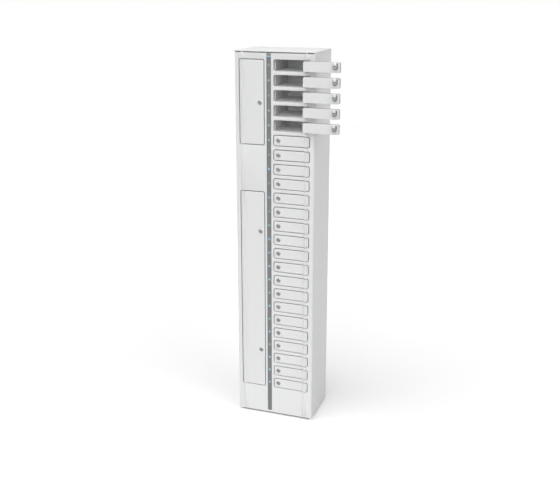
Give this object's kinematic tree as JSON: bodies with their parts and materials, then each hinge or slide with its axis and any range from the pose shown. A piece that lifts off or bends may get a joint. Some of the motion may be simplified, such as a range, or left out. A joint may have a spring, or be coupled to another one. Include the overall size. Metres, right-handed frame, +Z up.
{
  "type": "mobile phone locker",
  "caption": "Floor-standing tower locker for mobile phones: a column of small cam-locked doors on a full-height rod hinge, tall side doors, and a status light strip between them.",
  "frame": {"origin": "centre of the base, on the floor", "axes": "+Z up, +X to the viewer's right across the front, -Y out of the front towards the user"},
  "size_m": [0.5236, 0.2943, 1.8689],
  "materials": {
    "white_paint": "satin white powder coat on folded steel sheet",
    "inner_paint": "satin off-white powder coat inside",
    "smoked_diffuser": "grey satin diffuser with small coloured lamps behind it",
    "rod_steel": "drawn steel rod",
    "lock_metal": "nickel plated zinc lock plug and cam"
  },
  "bodies": {
    "cabinet": {"cabinet_shell": "white_paint", "front_frame": "white_paint", "top_cover": "white_paint", "base_plinth": "white_paint", "compartment_rack": "inner_paint", "light_strip": "smoked_diffuser", "hinge_rods": "rod_steel"},
    "upper_side_door": {"upper_side_door": "white_paint"},
    "lower_side_door": {"lower_side_door": "white_paint"},
    "upper_door_cam": {"upper_door_cam": "lock_metal"},
    "lower_door_cam_high": {"lower_door_cam_high": "lock_metal"},
    "lower_door_cam_low": {"lower_door_cam_low": "lock_metal"},
    "compartment_door_01": {"compartment_door_01": "white_paint"},
    "compartment_door_02": {"compartment_door_02": "white_paint"},
    "compartment_door_03": {"compartment_door_03": "white_paint"},
    "compartment_door_04": {"compartment_door_04": "white_paint"},
    "compartment_door_05": {"compartment_door_05": "white_paint"},
    "compartment_door_06": {"compartment_door_06": "white_paint"},
    "compartment_door_07": {"compartment_door_07": "white_paint"},
    "compartment_door_08": {"compartment_door_08": "white_paint"},
    "compartment_door_09": {"compartment_door_09": "white_paint"},
    "compartment_door_10": {"compartment_door_10": "white_paint"},
    "compartment_door_11": {"compartment_door_11": "white_paint"},
    "compartment_door_12": {"compartment_door_12": "white_paint"},
    "compartment_door_13": {"compartment_door_13": "white_paint"},
    "compartment_door_14": {"compartment_door_14": "white_paint"},
    "compartment_door_15": {"compartment_door_15": "white_paint"},
    "compartment_door_16": {"compartment_door_16": "white_paint"},
    "compartment_door_17": {"compartment_door_17": "white_paint"},
    "compartment_door_18": {"compartment_door_18": "white_paint"},
    "compartment_door_19": {"compartment_door_19": "white_paint"},
    "compartment_door_20": {"compartment_door_20": "white_paint"},
    "compartment_door_21": {"compartment_door_21": "white_paint"},
    "compartment_door_22": {"compartment_door_22": "white_paint"},
    "compartment_door_23": {"compartment_door_23": "white_paint"},
    "compartment_door_24": {"compartment_door_24": "white_paint"},
    "lock_cam_01": {"lock_cam_01": "lock_metal"},
    "lock_cam_02": {"lock_cam_02": "lock_metal"},
    "lock_cam_03": {"lock_cam_03": "lock_metal"},
    "lock_cam_04": {"lock_cam_04": "lock_metal"},
    "lock_cam_05": {"lock_cam_05": "lock_metal"},
    "lock_cam_06": {"lock_cam_06": "lock_metal"},
    "lock_cam_07": {"lock_cam_07": "lock_metal"},
    "lock_cam_08": {"lock_cam_08": "lock_metal"},
    "lock_cam_09": {"lock_cam_09": "lock_metal"},
    "lock_cam_10": {"lock_cam_10": "lock_metal"},
    "lock_cam_11": {"lock_cam_11": "lock_metal"},
    "lock_cam_12": {"lock_cam_12": "lock_metal"},
    "lock_cam_13": {"lock_cam_13": "lock_metal"},
    "lock_cam_14": {"lock_cam_14": "lock_metal"},
    "lock_cam_15": {"lock_cam_15": "lock_metal"},
    "lock_cam_16": {"lock_cam_16": "lock_metal"},
    "lock_cam_17": {"lock_cam_17": "lock_metal"},
    "lock_cam_18": {"lock_cam_18": "lock_metal"},
    "lock_cam_19": {"lock_cam_19": "lock_metal"},
    "lock_cam_20": {"lock_cam_20": "lock_metal"},
    "lock_cam_21": {"lock_cam_21": "lock_metal"},
    "lock_cam_22": {"lock_cam_22": "lock_metal"},
    "lock_cam_23": {"lock_cam_23": "lock_metal"},
    "lock_cam_24": {"lock_cam_24": "lock_metal"}
  },
  "joints": [
    {"name": "upper_side_door_hinge", "type": "hinge", "parent": "cabinet", "child": "upper_side_door", "pos_m": [-0.161, -0.1295, 1.62845], "axis": [0, 0, -1], "range_deg": [0, 180]},
    {"name": "lower_side_door_hinge", "type": "hinge", "parent": "cabinet", "child": "lower_side_door", "pos_m": [-0.161, -0.1295, 0.6767], "axis": [0, 0, -1], "range_deg": [0, 180]},
    {"name": "upper_door_cam_turn", "type": "hinge", "parent": "upper_side_door", "child": "upper_door_cam", "pos_m": [-0.0732, -0.1275, 1.62845], "axis": [0, 1, 0], "range_deg": [0, 90]},
    {"name": "lower_door_cam_high_turn", "type": "hinge", "parent": "lower_side_door", "child": "lower_door_cam_high", "pos_m": [-0.0732, -0.1275, 0.994], "axis": [0, 1, 0], "range_deg": [0, 90]},
    {"name": "lower_door_cam_low_turn", "type": "hinge", "parent": "lower_side_door", "child": "lower_door_cam_low", "pos_m": [-0.0732, -0.1275, 0.3594], "axis": [0, 1, 0], "range_deg": [0, 90]},
    {"name": "door_hinge_01", "type": "hinge", "parent": "cabinet", "child": "compartment_door_01", "pos_m": [0.161, -0.1295, 1.8047], "axis": [0, 0, 1], "range_deg": [-180, 0]},
    {"name": "lock_turn_01", "type": "hinge", "parent": "compartment_door_01", "child": "lock_cam_01", "pos_m": [0.302, -0.1315, 1.8047], "axis": [0, 1, 0], "range_deg": [0, 90]},
    {"name": "door_hinge_02", "type": "hinge", "parent": "cabinet", "child": "compartment_door_02", "pos_m": [0.161, -0.1295, 1.7342], "axis": [0, 0, 1], "range_deg": [-180, 0]},
    {"name": "lock_turn_02", "type": "hinge", "parent": "compartment_door_02", "child": "lock_cam_02", "pos_m": [0.302, -0.1315, 1.7342], "axis": [0, 1, 0], "range_deg": [0, 90]},
    {"name": "door_hinge_03", "type": "hinge", "parent": "cabinet", "child": "compartment_door_03", "pos_m": [0.161, -0.1295, 1.6637], "axis": [0, 0, 1], "range_deg": [-180, 0]},
    {"name": "lock_turn_03", "type": "hinge", "parent": "compartment_door_03", "child": "lock_cam_03", "pos_m": [0.302, -0.1315, 1.6637], "axis": [0, 1, 0], "range_deg": [0, 90]},
    {"name": "door_hinge_04", "type": "hinge", "parent": "cabinet", "child": "compartment_door_04", "pos_m": [0.161, -0.1295, 1.5932], "axis": [0, 0, 1], "range_deg": [-180, 0]},
    {"name": "lock_turn_04", "type": "hinge", "parent": "compartment_door_04", "child": "lock_cam_04", "pos_m": [0.302, -0.1315, 1.5932], "axis": [0, 1, 0], "range_deg": [0, 90]},
    {"name": "door_hinge_05", "type": "hinge", "parent": "cabinet", "child": "compartment_door_05", "pos_m": [0.161, -0.1295, 1.5227], "axis": [0, 0, 1], "range_deg": [-180, 0]},
    {"name": "lock_turn_05", "type": "hinge", "parent": "compartment_door_05", "child": "lock_cam_05", "pos_m": [0.302, -0.1315, 1.5227], "axis": [0, 1, 0], "range_deg": [0, 90]},
    {"name": "door_hinge_06", "type": "hinge", "parent": "cabinet", "child": "compartment_door_06", "pos_m": [0.161, -0.1295, 1.4522], "axis": [0, 0, 1], "range_deg": [0, 180]},
    {"name": "lock_turn_06", "type": "hinge", "parent": "compartment_door_06", "child": "lock_cam_06", "pos_m": [0.02, -0.1275, 1.4522], "axis": [0, -1, 0], "range_deg": [0, 90]},
    {"name": "door_hinge_07", "type": "hinge", "parent": "cabinet", "child": "compartment_door_07", "pos_m": [0.161, -0.1295, 1.3817], "axis": [0, 0, 1], "range_deg": [0, 180]},
    {"name": "lock_turn_07", "type": "hinge", "parent": "compartment_door_07", "child": "lock_cam_07", "pos_m": [0.02, -0.1275, 1.3817], "axis": [0, -1, 0], "range_deg": [0, 90]},
    {"name": "door_hinge_08", "type": "hinge", "parent": "cabinet", "child": "compartment_door_08", "pos_m": [0.161, -0.1295, 1.3112], "axis": [0, 0, 1], "range_deg": [0, 180]},
    {"name": "lock_turn_08", "type": "hinge", "parent": "compartment_door_08", "child": "lock_cam_08", "pos_m": [0.02, -0.1275, 1.3112], "axis": [0, -1, 0], "range_deg": [0, 90]},
    {"name": "door_hinge_09", "type": "hinge", "parent": "cabinet", "child": "compartment_door_09", "pos_m": [0.161, -0.1295, 1.2407], "axis": [0, 0, 1], "range_deg": [0, 180]},
    {"name": "lock_turn_09", "type": "hinge", "parent": "compartment_door_09", "child": "lock_cam_09", "pos_m": [0.02, -0.1275, 1.2407], "axis": [0, -1, 0], "range_deg": [0, 90]},
    {"name": "door_hinge_10", "type": "hinge", "parent": "cabinet", "child": "compartment_door_10", "pos_m": [0.161, -0.1295, 1.1702], "axis": [0, 0, 1], "range_deg": [0, 180]},
    {"name": "lock_turn_10", "type": "hinge", "parent": "compartment_door_10", "child": "lock_cam_10", "pos_m": [0.02, -0.1275, 1.1702], "axis": [0, -1, 0], "range_deg": [0, 90]},
    {"name": "door_hinge_11", "type": "hinge", "parent": "cabinet", "child": "compartment_door_11", "pos_m": [0.161, -0.1295, 1.0997], "axis": [0, 0, 1], "range_deg": [0, 180]},
    {"name": "lock_turn_11", "type": "hinge", "parent": "compartment_door_11", "child": "lock_cam_11", "pos_m": [0.02, -0.1275, 1.0997], "axis": [0, -1, 0], "range_deg": [0, 90]},
    {"name": "door_hinge_12", "type": "hinge", "parent": "cabinet", "child": "compartment_door_12", "pos_m": [0.161, -0.1295, 1.0292], "axis": [0, 0, 1], "range_deg": [0, 180]},
    {"name": "lock_turn_12", "type": "hinge", "parent": "compartment_door_12", "child": "lock_cam_12", "pos_m": [0.02, -0.1275, 1.0292], "axis": [0, -1, 0], "range_deg": [0, 90]},
    {"name": "door_hinge_13", "type": "hinge", "parent": "cabinet", "child": "compartment_door_13", "pos_m": [0.161, -0.1295, 0.9587], "axis": [0, 0, 1], "range_deg": [0, 180]},
    {"name": "lock_turn_13", "type": "hinge", "parent": "compartment_door_13", "child": "lock_cam_13", "pos_m": [0.02, -0.1275, 0.9587], "axis": [0, -1, 0], "range_deg": [0, 90]},
    {"name": "door_hinge_14", "type": "hinge", "parent": "cabinet", "child": "compartment_door_14", "pos_m": [0.161, -0.1295, 0.8882], "axis": [0, 0, 1], "range_deg": [0, 180]},
    {"name": "lock_turn_14", "type": "hinge", "parent": "compartment_door_14", "child": "lock_cam_14", "pos_m": [0.02, -0.1275, 0.8882], "axis": [0, -1, 0], "range_deg": [0, 90]},
    {"name": "door_hinge_15", "type": "hinge", "parent": "cabinet", "child": "compartment_door_15", "pos_m": [0.161, -0.1295, 0.8177], "axis": [0, 0, 1], "range_deg": [0, 180]},
    {"name": "lock_turn_15", "type": "hinge", "parent": "compartment_door_15", "child": "lock_cam_15", "pos_m": [0.02, -0.1275, 0.8177], "axis": [0, -1, 0], "range_deg": [0, 90]},
    {"name": "door_hinge_16", "type": "hinge", "parent": "cabinet", "child": "compartment_door_16", "pos_m": [0.161, -0.1295, 0.7472], "axis": [0, 0, 1], "range_deg": [0, 180]},
    {"name": "lock_turn_16", "type": "hinge", "parent": "compartment_door_16", "child": "lock_cam_16", "pos_m": [0.02, -0.1275, 0.7472], "axis": [0, -1, 0], "range_deg": [0, 90]},
    {"name": "door_hinge_17", "type": "hinge", "parent": "cabinet", "child": "compartment_door_17", "pos_m": [0.161, -0.1295, 0.6767], "axis": [0, 0, 1], "range_deg": [0, 180]},
    {"name": "lock_turn_17", "type": "hinge", "parent": "compartment_door_17", "child": "lock_cam_17", "pos_m": [0.02, -0.1275, 0.6767], "axis": [0, -1, 0], "range_deg": [0, 90]},
    {"name": "door_hinge_18", "type": "hinge", "parent": "cabinet", "child": "compartment_door_18", "pos_m": [0.161, -0.1295, 0.6062], "axis": [0, 0, 1], "range_deg": [0, 180]},
    {"name": "lock_turn_18", "type": "hinge", "parent": "compartment_door_18", "child": "lock_cam_18", "pos_m": [0.02, -0.1275, 0.6062], "axis": [0, -1, 0], "range_deg": [0, 90]},
    {"name": "door_hinge_19", "type": "hinge", "parent": "cabinet", "child": "compartment_door_19", "pos_m": [0.161, -0.1295, 0.5357], "axis": [0, 0, 1], "range_deg": [0, 180]},
    {"name": "lock_turn_19", "type": "hinge", "parent": "compartment_door_19", "child": "lock_cam_19", "pos_m": [0.02, -0.1275, 0.5357], "axis": [0, -1, 0], "range_deg": [0, 90]},
    {"name": "door_hinge_20", "type": "hinge", "parent": "cabinet", "child": "compartment_door_20", "pos_m": [0.161, -0.1295, 0.4652], "axis": [0, 0, 1], "range_deg": [0, 180]},
    {"name": "lock_turn_20", "type": "hinge", "parent": "compartment_door_20", "child": "lock_cam_20", "pos_m": [0.02, -0.1275, 0.4652], "axis": [0, -1, 0], "range_deg": [0, 90]},
    {"name": "door_hinge_21", "type": "hinge", "parent": "cabinet", "child": "compartment_door_21", "pos_m": [0.161, -0.1295, 0.3947], "axis": [0, 0, 1], "range_deg": [0, 180]},
    {"name": "lock_turn_21", "type": "hinge", "parent": "compartment_door_21", "child": "lock_cam_21", "pos_m": [0.02, -0.1275, 0.3947], "axis": [0, -1, 0], "range_deg": [0, 90]},
    {"name": "door_hinge_22", "type": "hinge", "parent": "cabinet", "child": "compartment_door_22", "pos_m": [0.161, -0.1295, 0.3242], "axis": [0, 0, 1], "range_deg": [0, 180]},
    {"name": "lock_turn_22", "type": "hinge", "parent": "compartment_door_22", "child": "lock_cam_22", "pos_m": [0.02, -0.1275, 0.3242], "axis": [0, -1, 0], "range_deg": [0, 90]},
    {"name": "door_hinge_23", "type": "hinge", "parent": "cabinet", "child": "compartment_door_23", "pos_m": [0.161, -0.1295, 0.2537], "axis": [0, 0, 1], "range_deg": [0, 180]},
    {"name": "lock_turn_23", "type": "hinge", "parent": "compartment_door_23", "child": "lock_cam_23", "pos_m": [0.02, -0.1275, 0.2537], "axis": [0, -1, 0], "range_deg": [0, 90]},
    {"name": "door_hinge_24", "type": "hinge", "parent": "cabinet", "child": "compartment_door_24", "pos_m": [0.161, -0.1295, 0.1832], "axis": [0, 0, 1], "range_deg": [0, 180]},
    {"name": "lock_turn_24", "type": "hinge", "parent": "compartment_door_24", "child": "lock_cam_24", "pos_m": [0.02, -0.1275, 0.1832], "axis": [0, -1, 0], "range_deg": [0, 90]}
  ]
}
